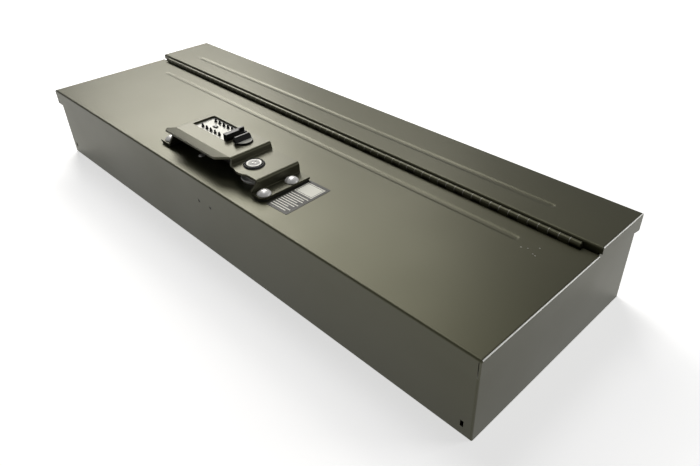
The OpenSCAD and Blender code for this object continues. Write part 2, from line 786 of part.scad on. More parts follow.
module bracket_bolts() color(BRIGHT) {
    for (p = bolt_spots) translate([p[0], p[1], 0]) {
        translate([0, 0, foot_top]) cylinder(h = head_rim, r = head_d / 2);
        translate([0, 0, foot_top + head_rim - eps]) dome(head_d / 2, head_h);
        translate([-neck / 2, -neck / 2, foot_under]) cube([neck, neck, plate_t + eps]);
        translate([0, 0, foot_top - bolt_l]) cylinder(h = bolt_l, r = shank_d / 2);
    }
}

module ring(r_out, r_in, h) difference() {
    cylinder(h = h, r = r_out);
    translate([0, 0, -1]) cylinder(h = h + 2, r = r_in);
}

module bracket_washers() color(ZINC) {
    for (p = bolt_spots) translate([p[0], p[1], lid_under - washer_t]) ring(washer_r, shank_d / 2 + 0.2, washer_t);
}

// A hexagon nut with its corners turned off
module hex_nut(r, bore, h) difference() {
    intersection() {
        cylinder(h = h, r = r, $fn = 6);
        translate([0, 0, -0.6 * r]) cylinder(h = h + 1.05 * r, r1 = 1.9 * r, r2 = 0.45 * r);
    }
    translate([0, 0, -1]) cylinder(h = h + 2, r = bore);
}

module bracket_nuts() color(ZINC) {
    for (p = bolt_spots) translate([p[0], p[1], lid_under - washer_t]) mirror([0, 0, 1]) hex_nut(nut_r, shank_d / 2 + 0.05, nut_h);
}

// ---- Combination lock ----

module lock_case() color(BLACK) {
    difference() {
        union() {
            difference() {
                translate([0, 0, case_bottom + cover_t]) linear_extrude(case_h - cover_t - panel_t)
                    rounded_rect(case_x0, case_x1, case_y0, case_y1, 2);
                span([case_x0 + case_wall, case_y0 + case_wall, 0], [case_x1 - case_wall, case_y1 - case_wall, far]);
            }
            for (p = screw_spots) intersection() {
                translate([p[0], p[1], case_bottom + cover_t]) cylinder(h = case_h - cover_t - panel_t, r = case_screw_d / 2 + 2);
                span([case_x0, case_y0, 0], [case_x1, case_y1, far]);
            }
        }
        for (p = screw_spots) translate([p[0], p[1], 0]) cylinder(h = far, r = case_screw_d / 2 + 0.1);
    }
}

module case_cover() color(BLACK) {
    difference() {
        translate([0, 0, case_bottom]) linear_extrude(cover_t) rounded_rect(case_x0, case_x1, case_y0, case_y1, 2);
        translate([0, knob_y, 0]) cylinder(h = far, r = spindle_r + spindle_fit);
        for (p = screw_spots) translate([p[0], p[1], 0]) cylinder(h = far, r = case_screw_d / 2 + 0.1);
    }
}

module case_screws() color(ZINC) {
    for (p = screw_spots) translate([p[0], p[1], 0]) {
        translate([0, 0, case_bottom]) cylinder(h = case_h + screw_bite, r = case_screw_d / 2);
        translate([0, 0, case_bottom]) mirror([0, 0, 1]) difference() {
            dome(case_screw_d * 0.95, 1.8);
            translate([-0.4, -far, 1]) cube([0.8, 2 * far, 2]);
        }
    }
}

function button_spot(i) = [-button_left + (i % buttons_in_row) * button_pitch,
                           row_mid + (i < buttons_in_row ? row_pitch / 2 : -row_pitch / 2)];
button_spots = [for (i = [0 : 2 * buttons_in_row - 1]) button_spot(i)];

// The guard ridge in section, with drawn-in sides
module ridge_outline() {
    top = platform_top + ridge_h;
    polygon([[ridge_x0, panel_under + 0.5], [ridge_x0 + 1, top], [ridge_x0 + 1 + ridge_w, top], [ridge_x1, platform_top], [ridge_x1, panel_under + 0.5]]);
}

module face_panel() color(BRIGHT) {
    ridge_gap = 1.9;
    difference() {
        union() {
            translate([0, 0, panel_under]) linear_extrude(panel_t) rounded_rect(case_x0, case_x1, case_y0, case_y1, 2);
            along_y(window_y0 + ridge_gap, window_y1 - ridge_gap) ridge_outline();
        }
        span([ridge_x0 + 0.55 * ridge_w, window_y1 - 12, platform_top + 0.45 * ridge_h], [ridge_x1 + 1, window_y1, far]);
        for (p = button_spots) translate([p[0], p[1], 0]) cylinder(h = far, r = button_d / 2 + button_fit);
        span([tab_x - tab_l / 2 - 0.1, tab_y - 1, 0], [tab_x + tab_l / 2 + tab_travel - 1.9, tab_y + 1, panel_top + 1]);
        translate([0, knob_y, 0]) cylinder(h = far, r = spindle_r + spindle_fit);
        for (p = screw_spots) translate([p[0], p[1], 0]) cylinder(h = far, r = case_screw_d / 2 + 0.1);
    }
}

module button_guide() color(ZINC) {
    difference() {
        span([case_x0 + case_wall + 0.05, case_y0 + case_wall + 0.05, guide_z],
             [ridge_x0, case_y1 - case_wall - 0.05, guide_z + guide_plate_t]);
        for (p = button_spots) translate([p[0], p[1], 0]) cylinder(h = far, r = stem_r + button_fit);
        for (p = screw_spots) translate([p[0], p[1], 0]) cylinder(h = far, r = case_screw_d / 2 + 2.1);
    }
}

// One push button: domed post, foot, retaining flange and stem
module button(i) color(BLACK) {
    p = button_spot(i);
    tip_r = button_tip_d / 2;
    foot_h = 1.2;
    post_top = panel_top + button_h - 0.7 * tip_r;
    translate([p[0], p[1], 0]) {
        translate([0, 0, post_top - eps]) dome(tip_r, 0.7 * tip_r + eps);
        translate([0, 0, panel_top + foot_h - eps])
            cylinder(h = post_top - panel_top - foot_h + eps, r1 = tip_r + 0.4, r2 = tip_r);
        translate([0, 0, panel_under - flange_gap]) cylinder(h = panel_t + flange_gap + foot_h, r = button_d / 2);
        translate([0, 0, panel_under - flange_gap - collar_t]) cylinder(h = collar_t, r = flange_r);
        translate([0, 0, guide_z - 2]) cylinder(h = panel_under - flange_gap - guide_z + 2, r = stem_r);
    }
}

module button_1() button(0);
module button_2() button(1);
module button_3() button(2);
module button_4() button(3);
module button_5() button(4);
module button_6() button(5);
module button_7() button(6);
module button_8() button(7);
module button_9() button(8);
module button_0() button(9);

// Points of one ring of a coil's wire at turn angle a
function coil_ring(a, r, z, wire) =
    [for (s = [0 : 60 : 300]) [(r + wire / 2 * cos(s)) * cos(a), (r + wire / 2 * cos(s)) * sin(a), z + wire / 2 * sin(s)]];

// A compression spring from z = 0 up to h
module coil(r, h, wire, turns) {
    steps = coil_steps * turns;
    rings = [for (k = [0 : steps]) coil_ring(360 / coil_steps * k, r, wire / 2 + k * (h - wire) / steps, wire)];
    points = [for (ring_points = rings) for (p = ring_points) p];
    sides = [for (k = [0 : steps - 1]) for (s = [0 : 5]) [6 * k + s, 6 * k + 6 + s, 6 * k + 6 + (s + 1) % 6, 6 * k + (s + 1) % 6]];
    first = [for (s = [0 : 5]) s];
    last = [for (s = [5 : -1 : 0]) 6 * steps + s];
    polyhedron(points = points, faces = concat(sides, [first], [last]));
}

// The spring of one push button, between the guide and the button's flange
module button_spring(i) color(BRIGHT) {
    p = button_spot(i);
    z0 = guide_z + guide_plate_t;
    translate([p[0], p[1], z0]) coil(stem_r + 0.9, panel_under - flange_gap - collar_t - z0, spring_wire, 4);
}

module spring_1() button_spring(0);
module spring_2() button_spring(1);
module spring_3() button_spring(2);
module spring_4() button_spring(3);
module spring_5() button_spring(4);
module spring_6() button_spring(5);
module spring_7() button_spring(6);
module spring_8() button_spring(7);
module spring_9() button_spring(8);
module spring_0() button_spring(9);

// The tab that clears the combination, on its foot below the panel
module clear_slide() color(ZINC) {
    z = panel_top + 0.1;
    stem_x1 = tab_x + tab_l / 2 - 2;
    span([tab_x - tab_l / 2, tab_y - tab_w / 2, z], [tab_x + tab_l / 2, tab_y + tab_w / 2, z + tab_h]);
    span([tab_x - tab_l / 2, tab_y - 0.9, panel_under - 1], [stem_x1, tab_y + 0.9, z + eps]);
    span([tab_x - tab_l / 2 - 0.8, tab_y - 2, panel_under - 1.2], [stem_x1 + 0.8, tab_y + 2, panel_under - 0.1]);
}

module thumb_turn() color(BRIGHT) {
    z = platform_top + 0.2;
    top = z + knob_disc_t;
    translate([0, knob_y, 0]) {
        difference() {
            union() {
                translate([0, 0, z]) cylinder(h = knob_disc_t - 0.5, r = knob_d / 2);
                translate([0, 0, top - 0.5]) cylinder(h = 0.5, r1 = knob_d / 2, r2 = knob_d / 2 - 0.5);
                translate([0, -blade_shift, 0]) blade(top);
            }
            translate([0, 0, z - 1]) cylinder(h = knob_disc_t + 2, r = spindle_r - 1 + 0.02);
        }
    }
}

// The knob's blade, along Y: its faces slope out to the foot, and its ends are rounded
module blade(z) {
    half = blade_l / 2;
    end = 2.5;
    edge = 0.4;
    z0 = z - 0.5;
    z1 = z + blade_h;
    intersection() {
        along_x(-blade_foot, blade_foot) arched(-half, half, z0, z1, end);
        along_y(-half, half)
            polygon([[-blade_foot / 2, z0], [blade_foot / 2, z0], [blade_t / 2, z1 - edge], [blade_t / 2 - edge, z1],
                     [-blade_t / 2 + edge, z1], [-blade_t / 2, z1 - edge]]);
    }
}

// Turned spindle: a thin nose in the knob, a running shaft, and a square end in the drive cam
module drive_spindle() color(ZINC) {
    translate([0, knob_y, 0]) {
        translate([0, 0, lid_under]) cylinder(h = platform_top + 0.2 - lid_under, r = spindle_r);
        translate([0, 0, platform_top + 0.2 - eps]) cylinder(h = knob_disc_t + 1, r = spindle_r - 1);
        translate([-2.75, -2.75, crank_under]) cube([5.5, 5.5, lid_under - crank_under + eps]);
    }
}

// The clip that keeps the spindle down, under the face panel
module spindle_clip() color(ZINC) translate([0, knob_y, panel_under - 1.1]) ring(spindle_r + 3, spindle_r + 0.03, 1);

module drive_cam() color(ZINC) {
    translate([0, knob_y, 0]) {
        difference() {
            translate([0, 0, crank_under]) cylinder(h = crank_t, r = crank_disc_r);
            translate([-2.8, -2.8, crank_under - 1]) cube([5.6, 5.6, crank_t + 2]);
        }
        rotate(45) translate([crank_r, 0, slide_under + 0.2]) cylinder(h = crank_under - slide_under, r = crank_pin_r);
    }
}

module slide_bolt() color(ZINC) {
    x0 = crank_y - crank_pin_r - crank_fit;
    x1 = crank_r + crank_pin_r + crank_fit;
    half = crank_pin_r + crank_fit;
    difference() {
        translate([0, 0, slide_under]) linear_extrude(slide_t)
            polygon([[-slide_w / 2 + 4, slide_tip], [slide_w / 2 - 4, slide_tip], [slide_w / 2, slide_tip + 4], [slide_w / 2, slide_rear],
                     [-slide_w / 2, slide_rear], [-slide_w / 2, slide_tip + 4]]);
        span([x0, slot_y - half, 0], [x1, slot_y + half, far]);
    }
}

module bolt_guide() color(DARK_PAINT) {
    rim = lid_under - guide_t;
    floor_z = guide_floor - guide_t;
    difference() {
        union() {
            span([-guide_out, guide_y0, floor_z], [guide_out, guide_y1, guide_floor]);
            for (side = [-1, 1]) span([side > 0 ? guide_in : -guide_out, guide_y0, floor_z], [side > 0 ? guide_out : -guide_in, guide_y1, lid_under]);
            span([-guide_left, guide_y0, rim], [-guide_in, guide_y1, lid_under]);
            span([guide_in, guide_y0, rim], [guide_right, guide_y1, lid_under]);
        }
        for (p = rivet_spots) translate([p[0], p[1], 0]) cylinder(h = far, r = rivet_r + 0.05);
    }
}

module guide_rivets() color(BRIGHT) {
    for (p = rivet_spots) translate([p[0], p[1], 0]) {
        translate([0, 0, lid_under - guide_t - 0.8]) cylinder(h = sheet + guide_t + 0.8, r = rivet_r);
        translate([0, 0, lid_h]) dome(rivet_head_r, rivet_head_h);
        translate([0, 0, lid_under - guide_t - 0.9]) cylinder(h = 0.9, r = rivet_head_r - 1);
    }
}

// ---- Key lock ----

// The barrel's double-D section, grown by fit all round
module barrel_shape(h, fit) intersection() {
    cylinder(h = h, r = barrel_d / 2 + fit);
    translate([-barrel_d, -barrel_flats / 2 - fit, 0]) cube([2 * barrel_d, barrel_flats + 2 * fit, h]);
}

module key_lock_body() color(BRIGHT) {
    translate([key_x, key_y, 0]) difference() {
        union() {
            translate([0, 0, barrel_end]) barrel_shape(barrel_l + eps, 0);
            translate([0, 0, key_step_top]) cylinder(h = 0.6, r = bezel_foot_d / 2);
            translate([0, 0, key_step_top + 0.6]) cylinder(h = bezel_h - 0.6, r1 = bezel_foot_d / 2, r2 = bezel_d / 2);
        }
        translate([0, 0, barrel_end - 1]) cylinder(h = barrel_l + bezel_h + 2, r = plug_d / 2 + plug_fit);
    }
}

module key_lock_nut() color(BRIGHT)
    translate([key_x, key_y, key_step_under]) mirror([0, 0, 1]) hex_nut(key_nut_r, barrel_d / 2 + barrel_fit, key_nut_h);

module key_lock_collar() color(BRIGHT) {
    translate([key_x, key_y, lid_h]) difference() {
        union() {
            cylinder(h = collar_h, r = collar_foot_r);
            translate([0, 0, collar_h - 1.6]) cylinder(h = 1, r = collar_r);
            translate([0, 0, collar_h - 0.6]) cylinder(h = 0.6, r1 = collar_r, r2 = collar_r - 0.6);
        }
        translate([0, 0, -1]) cylinder(h = collar_h + 2, r = barrel_d / 2 + 0.3);
    }
}

// The turning plug, with its keyway along Y and a square tail for the cam
module key_plug() color(BRIGHT) {
    top = key_step_top + bezel_h + 0.1;
    translate([key_x, key_y, 0]) difference() {
        union() {
            translate([0, 0, barrel_end - 0.2]) cylinder(h = top - barrel_end + 0.2, r = plug_d / 2);
            translate([-tail / 2, -tail / 2, cam_under]) cube([tail, tail, barrel_end - cam_under]);
        }
        translate([-0.6, -3.6, top - 9]) cube([1.2, 7.2, 10]);
        translate([0, 0, cam_under - 1]) cylinder(h = 9, r = 2);
    }
}

module key_cam() color(ZINC) {
    r = cam_w / 2;
    translate([key_x, key_y, cam_under]) difference() {
        union() {
            cylinder(h = cam_t, r = r + 2);
            translate([-cam_l + r, -r, 0]) cube([cam_l - r, 2 * r, cam_t]);
            translate([-cam_l + r, 0, 0]) cylinder(h = cam_t, r = r);
        }
        translate([-tail / 2 - tail_fit, -tail / 2 - tail_fit, -1]) cube([tail + 2 * tail_fit, tail + 2 * tail_fit, cam_t + 2]);
    }
}

module cam_screw() color(ZINC) {
    translate([key_x, key_y, 0]) {
        translate([0, 0, cam_under - 1.2]) cylinder(h = 1.2, r = 6);
        translate([0, 0, cam_under - eps]) cylinder(h = 7, r = 1.97);
        translate([0, 0, cam_under - 3.6]) cylinder(h = 2.4 + eps, r = 4.3, $fn = 6);
    }
}

// ---- Label ----

module info_label() color(DARK_PAINT)
    translate([label_x, (foot_y0 + foot_y1) / 2 + label_back, lid_h]) rotate(label_turn)
        linear_extrude(label_t) rounded_rect(-label_w / 2, label_w / 2, -label_l / 2, label_l / 2, 1.5);

body_tub();
rear_top_panel();
front_catch();
catch_rivets();
hinge_leaf_fixed();
hinge_pin();
lid();
hinge_leaf_lid();
lock_bracket();
foot_gaskets();
bracket_bolts();
bracket_washers();
bracket_nuts();
lock_case();
case_cover();
case_screws();
face_panel();
button_guide();
button_1();
button_2();
button_3();
button_4();
button_5();
button_6();
button_7();
button_8();
button_9();
button_0();
spring_1();
spring_2();
spring_3();
spring_4();
spring_5();
spring_6();
spring_7();
spring_8();
spring_9();
spring_0();
clear_slide();
thumb_turn();
drive_spindle();
spindle_clip();
drive_cam();
slide_bolt();
bolt_guide();
guide_rivets();
key_lock_body();
key_lock_nut();
key_lock_collar();
key_plug();
key_cam();
cam_screw();
info_label();
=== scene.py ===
import json
import math

import bmesh
import bpy
from mathutils import Matrix, Vector


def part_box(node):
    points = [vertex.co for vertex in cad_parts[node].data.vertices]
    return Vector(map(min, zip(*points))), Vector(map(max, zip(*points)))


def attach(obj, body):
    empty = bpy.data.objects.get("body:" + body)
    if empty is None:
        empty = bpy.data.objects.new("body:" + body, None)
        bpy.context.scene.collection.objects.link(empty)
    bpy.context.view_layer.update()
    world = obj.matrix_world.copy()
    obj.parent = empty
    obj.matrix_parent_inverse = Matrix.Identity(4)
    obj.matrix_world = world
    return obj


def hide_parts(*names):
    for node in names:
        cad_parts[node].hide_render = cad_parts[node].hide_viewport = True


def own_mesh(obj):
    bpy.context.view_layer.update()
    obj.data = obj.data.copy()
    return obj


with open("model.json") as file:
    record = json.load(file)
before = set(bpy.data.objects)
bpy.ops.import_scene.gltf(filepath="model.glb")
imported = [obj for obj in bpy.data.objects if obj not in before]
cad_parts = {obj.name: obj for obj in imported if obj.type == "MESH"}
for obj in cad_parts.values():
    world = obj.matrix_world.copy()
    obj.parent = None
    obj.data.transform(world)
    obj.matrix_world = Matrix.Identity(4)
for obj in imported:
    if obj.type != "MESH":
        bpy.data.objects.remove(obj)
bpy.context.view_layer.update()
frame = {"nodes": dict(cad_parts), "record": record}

MM = 0.001
NODES = frame["nodes"]
BEHAVIOUR = frame["record"]["behaviour"]
SLOT_OF = {part["node"]: part["material_slot"] for part in frame["record"]["subparts"]}
BODY_OF = {node: body for body, nodes in BEHAVIOUR["bodies"].items() for node in nodes}

# ---- Sizes in millimetres ----

# Heights above the ground at which a finish changes: key lock bezel, guard ridge, knob. These
# splits paint light and shade onto single parts: the bezel's side is painted dark as a reflection
# and its face a duller grey that holds down its highlight, the guard ridge is painted black as a
# dark reflection, and the knob's disc side is painted shade, its top a painted highlight line and
# its blade painted black as a dark reflection.
BEZEL_EDGE_FROM = 131.95
BEZEL_FACE_FROM = 134.2
GUARD_FROM = 138.3
KNOB_LINE_FROM = 143.25
KNOB_GRIP_FROM = 143.45

# The label's turn in degrees, and its print, measured from its middle
LABEL_TURN = 2
FIELD = (-16, 14.5, 6.5, 30.5)
FRAME_INSET = 1.4
FRAME_WIDTH = 0.7
BARS_FROM = -15.5
BARS_TO = 14.5
BAR_CUTS = (0, 3, 1, 6, 0, 2, 8, 0, 4)
BAR_WIDTH = 1.4
BAR_PITCH = 4.0
FIRST_BAR = 1.8
PRINT_LIFT = 0.02
FRAME_LIFT = 0.04

# The pressed beads: their ends from the sheets' ends, their distance from the rear panel's
# front edge, and the soft channel that lies over each groove
BEAD_LEFT = 67
BEAD_RIGHT = 77
BEAD_FROM_SEAM = 35
BEAD_LAP = 0.3
BEAD_HALF_WIDTH = 5.3
BEAD_DEPTH = 0.6
BEAD_LIFT = 0.03
BEAD_BOTTOM_SHARE = 0.3
BEAD_ROWS = 16
BEAD_COLUMNS = 84
BEAD_END_COLUMNS = 12

# The hinge's knuckles and the painted highlight on the edge between each two
KNUCKLE_PITCH = 12.7
KNUCKLES = 65
KNUCKLE_RADIUS = 3.56
KNUCKLE_EDGE = 0.7
KNUCKLE_SEGMENTS = 20

# The key lock's face: inner and outer radius of its rings, the outer one a painted dark
# reflection of the bezel's side, and the marks on the plug
FINE_RING = (8.1, 8.5)
DARK_RIM = (9.9, 11.95)
RING_SEGMENTS = 48
STOP_PLACE = (1.6, 0.6)
STOP_HALF_SIZE = (1.0, 0.6)
MARK_LIFT = 0.03

# The raised dots near the lid's right end
DOTS = ((367.5, 11.2), (386.5, 8), (374, 14), (383, 22.5), (383, 9))
DOT_RADIUS = 0.9
DOT_FLATNESS = 0.35

# The rolled edges: the bend's centre below and inside the corner, and its surface
ROLL_CENTRE = 1.1
ROLL_RADIUS = 1.05
ROLL_STEPS = 4
ROLL_END = 1.5
LID_ROLL_BACK = 53.0

# ---- Studio values, in metres, degrees and watts ----

CAMERA_LENS = 31.69
CAMERA_SENSOR = 36.0
CAMERA_SHIFT = (-0.0244, -0.0011)
CAMERA_PLACE = (0.6253, -0.4647, 0.4986)
CAMERA_RIGHT = Vector((0.7067, 0.7073, -0.0172))
CAMERA_DOWN = Vector((0.3964, -0.4160, -0.8184))

# What the floor and the world give off: to the camera, a reflection or glass, and as light
FLOOR_RADIUS = 14.0
FLOOR_GLOW = 0.65
BACKDROP = 0.36
SURROUND = 0.04

WARM = (1.0, 0.975, 0.93)
PLAIN = (1.0, 1.0, 1.0)
LAMP_AIM = Vector((0, 0, 0.1))
LAMP_DISTANCE = 2.5
LAMP_SIZE = 0.9
# Name, compass angle from +X, height angle, power and colour
LAMPS = [
    ("key", 157, 33, 24.5, WARM),
    ("back_left", 132, 43, 11, WARM),
    ("right_back", 42, 22, 8.5, PLAIN),
    ("overhead", 150, 72, 11, PLAIN),
]


# ---- Shader parts that several finishes share ----

def new_group(name, inputs, outputs):
    """An empty shader group with float inputs (name, value) and float outputs (name)."""
    group = bpy.data.node_groups.new(name, "ShaderNodeTree")
    for label, value in inputs:
        socket = group.interface.new_socket(label, in_out="INPUT", socket_type="NodeSocketFloat")
        socket.default_value = value
    for label in outputs:
        group.interface.new_socket(label, in_out="OUTPUT", socket_type="NodeSocketFloat")
    return group, group.nodes.new("NodeGroupInput"), group.nodes.new("NodeGroupOutput")


def noise(tree, scale, detail, roughness):
    """Object-space noise whose scale comes from a socket."""
    coords = tree.nodes.new("ShaderNodeTexCoord")
    texture = tree.nodes.new("ShaderNodeTexNoise")
    texture.inputs["Detail"].default_value = detail
    texture.inputs["Roughness"].default_value = roughness
    tree.links.new(coords.outputs["Object"], texture.inputs["Vector"])
    tree.links.new(scale, texture.inputs["Scale"])
    return texture.outputs["Fac"]


def ranged(tree, value, low, high):
    """Maps the middle range of a noise, 0.3 to 0.7, to what the sockets low and high say."""
    node = tree.nodes.new("ShaderNodeMapRange")
    node.inputs["From Min"].default_value = 0.3
    node.inputs["From Max"].default_value = 0.7
    tree.links.new(value, node.inputs["Value"])
    tree.links.new(low, node.inputs["To Min"])
    tree.links.new(high, node.inputs["To Max"])
    return node.outputs["Result"]


def make_surface_group():
    """Fine texture of a coated or plated surface: a height, an uneven gloss and a faint tone."""
    group, given, made = new_group(
        "surface_texture",
        [("Grain", 900.0), ("Patches", 6.0), ("Rough low", 0.4), ("Rough high", 0.5),
         ("Tone low", 0.9), ("Tone high", 1.1)],
        ["Height", "Roughness", "Tone"])
    grain = noise(group, given.outputs["Grain"], detail=3.0, roughness=0.6)
    patches = noise(group, given.outputs["Patches"], detail=4.0, roughness=0.55)
    rough = ranged(group, patches, given.outputs["Rough low"], given.outputs["Rough high"])
    tone = ranged(group, patches, given.outputs["Tone low"], given.outputs["Tone high"])
    group.links.new(grain, made.inputs["Height"])
    group.links.new(rough, made.inputs["Roughness"])
    group.links.new(tone, made.inputs["Tone"])
    return group


SURFACE = make_surface_group()


def finish_of(name, color, metallic=0.0, specular=0.5, sheen=PLAIN, grain=900.0, patches=6.0,
              rough=(0.4, 0.5), tone=(0.92, 1.08), bump_mm=0.02):
    """A procedural finish: one colour with a faint uneven tone, uneven gloss and a fine bump."""
    material = bpy.data.materials.new(name)
    material.use_nodes = True
    tree = material.node_tree
    shader = tree.nodes["Principled BSDF"]
    shader.inputs["Metallic"].default_value = metallic
    shader.inputs["Specular IOR Level"].default_value = specular
    shader.inputs["Specular Tint"].default_value = (*sheen, 1)
    texture = tree.nodes.new("ShaderNodeGroup")
    texture.node_tree = SURFACE
    values = {"Grain": grain, "Patches": patches, "Rough low": rough[0], "Rough high": rough[1],
              "Tone low": tone[0], "Tone high": tone[1]}
    for label, value in values.items():
        texture.inputs[label].default_value = value
    tint = tree.nodes.new("ShaderNodeVectorMath")
    tint.operation = "SCALE"
    tint.inputs[0].default_value = color
    tree.links.new(texture.outputs["Tone"], tint.inputs["Scale"])
    tree.links.new(tint.outputs["Vector"], shader.inputs["Base Color"])
    tree.links.new(texture.outputs["Roughness"], shader.inputs["Roughness"])
    bump = tree.nodes.new("ShaderNodeBump")
    bump.inputs["Strength"].default_value = 1.0
    bump.inputs["Distance"].default_value = bump_mm * MM
    tree.links.new(texture.outputs["Height"], bump.inputs["Height"])
    tree.links.new(bump.outputs["Normal"], shader.inputs["Normal"])
    return material


def above_height(material, z_mm, color, roughness):
    """Above a height the finish has its own colour and gloss, and isn't metallic."""
    tree = material.node_tree
    shader = tree.nodes["Principled BSDF"]
    coords = tree.nodes.new("ShaderNodeTexCoord")
    split = tree.nodes.new("ShaderNodeSeparateXYZ")
    above = tree.nodes.new("ShaderNodeMath")
    above.operation = "GREATER_THAN"
    above.inputs[1].default_value = z_mm * MM
    tree.links.new(coords.outputs["Object"], split.inputs["Vector"])
    tree.links.new(split.outputs["Z"], above.inputs[0])
    for label, kind, data_type, upper in (("Base Color", "Color", "RGBA", (*color, 1)),
                                          ("Roughness", "Float", "FLOAT", roughness),
                                          ("Metallic", "Float", "FLOAT", 0.0)):
        mix = tree.nodes.new("ShaderNodeMix")
        mix.data_type = data_type
        sockets = {socket.identifier: socket for socket in (*mix.inputs, *mix.outputs)}
        lower, higher = sockets["A_" + kind], sockets["B_" + kind]
        higher.default_value = upper
        given = shader.inputs[label]
        if given.is_linked:
            tree.links.new(given.links[0].from_socket, lower)
        else:
            lower.default_value = given.default_value
        tree.links.new(above.outputs["Value"], sockets["Factor_Float"])
        tree.links.new(sockets["Result_" + kind], given)
    return material


# ---- Finishes ----

OLIVE = (1.0, 0.985, 0.66)
# Plated nickel, made mostly a near-white diffuse rather than fully metallic: partly its own
# bright metal and partly a painted reflection of a bright surround.
NICKEL_WITH_PAINTED_REFLECTION = dict(color=(0.97, 0.96, 0.94), metallic=0.35, rough=(0.28, 0.38),
                     grain=300.0, patches=160.0, bump_mm=0.006)
# Painted dark reflection: the black of the guard ridge and of the knob's blade.
PAINTED_DARK_GLOSS = (0.008, 0.008, 0.007)
# Painted dark reflection on the side of the key lock's bezel.
PAINTED_DARK_REFLECTION = (0.012, 0.012, 0.011)
SATIN_GREY = (0.56, 0.56, 0.53)
# Painted highlight line on the top edge of the knob's disc.
PAINTED_HIGHLIGHT_LINE = (0.7, 0.7, 0.63)

powder_coat = finish_of("powder_coat", (0.028, 0.0275, 0.015), specular=0.7, sheen=OLIVE,
                        rough=(0.36, 0.42), grain=1400.0, bump_mm=0.012)
bracket_coat = finish_of("bracket_coat", (0.030, 0.029, 0.018), specular=0.58, sheen=OLIVE,
                         rough=(0.34, 0.4), grain=1100.0, bump_mm=0.012)
dark_coat = finish_of("dark_coat", (0.018, 0.018, 0.014))
# Bolt heads and other nickel parts: near-white, partly a painted reflection.
nickel = finish_of("bright_nickel", **NICKEL_WITH_PAINTED_REFLECTION)
lock_metal_painted_shade = finish_of("lock_metal_painted_shade", **NICKEL_WITH_PAINTED_REFLECTION)
# The bezel's side is painted dark as a reflection, and its face a duller grey that holds down its
# highlight.
lock_metal_painted_shade = above_height(lock_metal_painted_shade, BEZEL_EDGE_FROM, PAINTED_DARK_REFLECTION, 0.6)
lock_metal_painted_shade = above_height(lock_metal_painted_shade, BEZEL_FACE_FROM, SATIN_GREY, 0.55)
# Painted dark reflection: the rim at the edge of the key lock's face.
painted_dark_rim = finish_of("painted_dark_rim", (0.01, 0.01, 0.009), specular=0.06, rough=(0.6, 0.7),
                      bump_mm=0.002)
# Painted highlight: the pale light line along the rolled edges.
painted_highlight_edge = finish_of("painted_highlight_edge", (0.85, 0.85, 0.81), metallic=0.5, rough=(0.32, 0.42),
                        bump_mm=0.004)
# Painted highlight: the pale finish of the knuckle rings and of the weld dots.
pale_highlight_paint = finish_of("pale_highlight_paint", (0.36, 0.35, 0.31), metallic=0.3, bump_mm=0.004)
lock_face_with_painted_ridge = finish_of("lock_face_with_painted_ridge", (0.54, 0.54, 0.5), metallic=0.3, specular=0.2,
                      rough=(0.36, 0.5), grain=1800.0, patches=60.0, tone=(0.8, 1.1),
                      bump_mm=0.01)
# The guard ridge is painted gloss black, a painted dark reflection over the face panel's own pale
# metal.
lock_face_with_painted_ridge = above_height(lock_face_with_painted_ridge, GUARD_FROM, PAINTED_DARK_GLOSS, 0.3)
# The knob, a satin metal part, is painted in lit and shaded tones: its disc side dark as painted
# shade, a painted highlight line on the disc's top, and its blade black as a painted dark
# reflection.
knob_painted_light_and_shade = finish_of("knob_painted_light_and_shade", (0.01, 0.01, 0.009), specular=0.2, rough=(0.35, 0.45),
                        grain=1800.0, bump_mm=0.008)
knob_painted_light_and_shade = above_height(knob_painted_light_and_shade, KNOB_LINE_FROM, PAINTED_HIGHLIGHT_LINE, 0.5)
knob_painted_light_and_shade = above_height(knob_painted_light_and_shade, KNOB_GRIP_FROM, PAINTED_DARK_GLOSS, 0.28)
zinc = finish_of("zinc_plate", SATIN_GREY, metallic=1.0, rough=(0.3, 0.45), grain=500.0,
                 bump_mm=0.01)
black_moulding = finish_of("black_moulding", (0.012, 0.012, 0.012), rough=(0.35, 0.45),
                           grain=2500.0, bump_mm=0.01)
grey_moulding = finish_of("grey_moulding", (0.13, 0.13, 0.12), rough=(0.3, 0.4),
                          grain=2500.0, bump_mm=0.01)
rubber = finish_of("gasket_rubber", (0.012, 0.012, 0.012), rough=(0.6, 0.75), grain=1500.0,
                   bump_mm=0.03)
label_film = finish_of("label_film", (0.025, 0.025, 0.019), specular=0.3, rough=(0.38, 0.44),
                       grain=2500.0, bump_mm=0.004)
label_ink = finish_of("label_ink", (0.93, 0.93, 0.82), rough=(0.42, 0.5), grain=2500.0,
                      bump_mm=0.002)
spring_wire = finish_of("spring_wire", (0.6, 0.6, 0.58), metallic=1.0, rough=(0.2, 0.3),
                        bump_mm=0.004)

FINISH_OF_SLOT = {
    "painted_steel": powder_coat, "dark_steel": dark_coat, "bracket_paint": bracket_coat,
    "bright_nickel": nickel, "satin_metal": knob_painted_light_and_shade, "zinc_plate": zinc,
    "black_plastic": black_moulding, "black_button": black_moulding,
    "grey_plastic": grey_moulding, "spring_steel": spring_wire, "black_rubber": rubber,
    "label_film": label_film,
}
OWN_FINISH = {"face_panel": lock_face_with_painted_ridge, "key_lock_body": lock_metal_painted_shade, "key_plug": lock_metal_painted_shade}


def dress_nodes():
    """Gives every CAD node its own finish, or the one of its material slot in the record."""
    for node, slot in SLOT_OF.items():
        mesh = NODES[node].data
        mesh.materials.clear()
        mesh.materials.append(OWN_FINISH.get(node, FINISH_OF_SLOT[slot]))


# ---- Pieces ----

def new_object(name, data):
    """A new object, linked into the scene."""
    made = bpy.data.objects.new(name, data)
    bpy.context.scene.collection.objects.link(made)
    return made


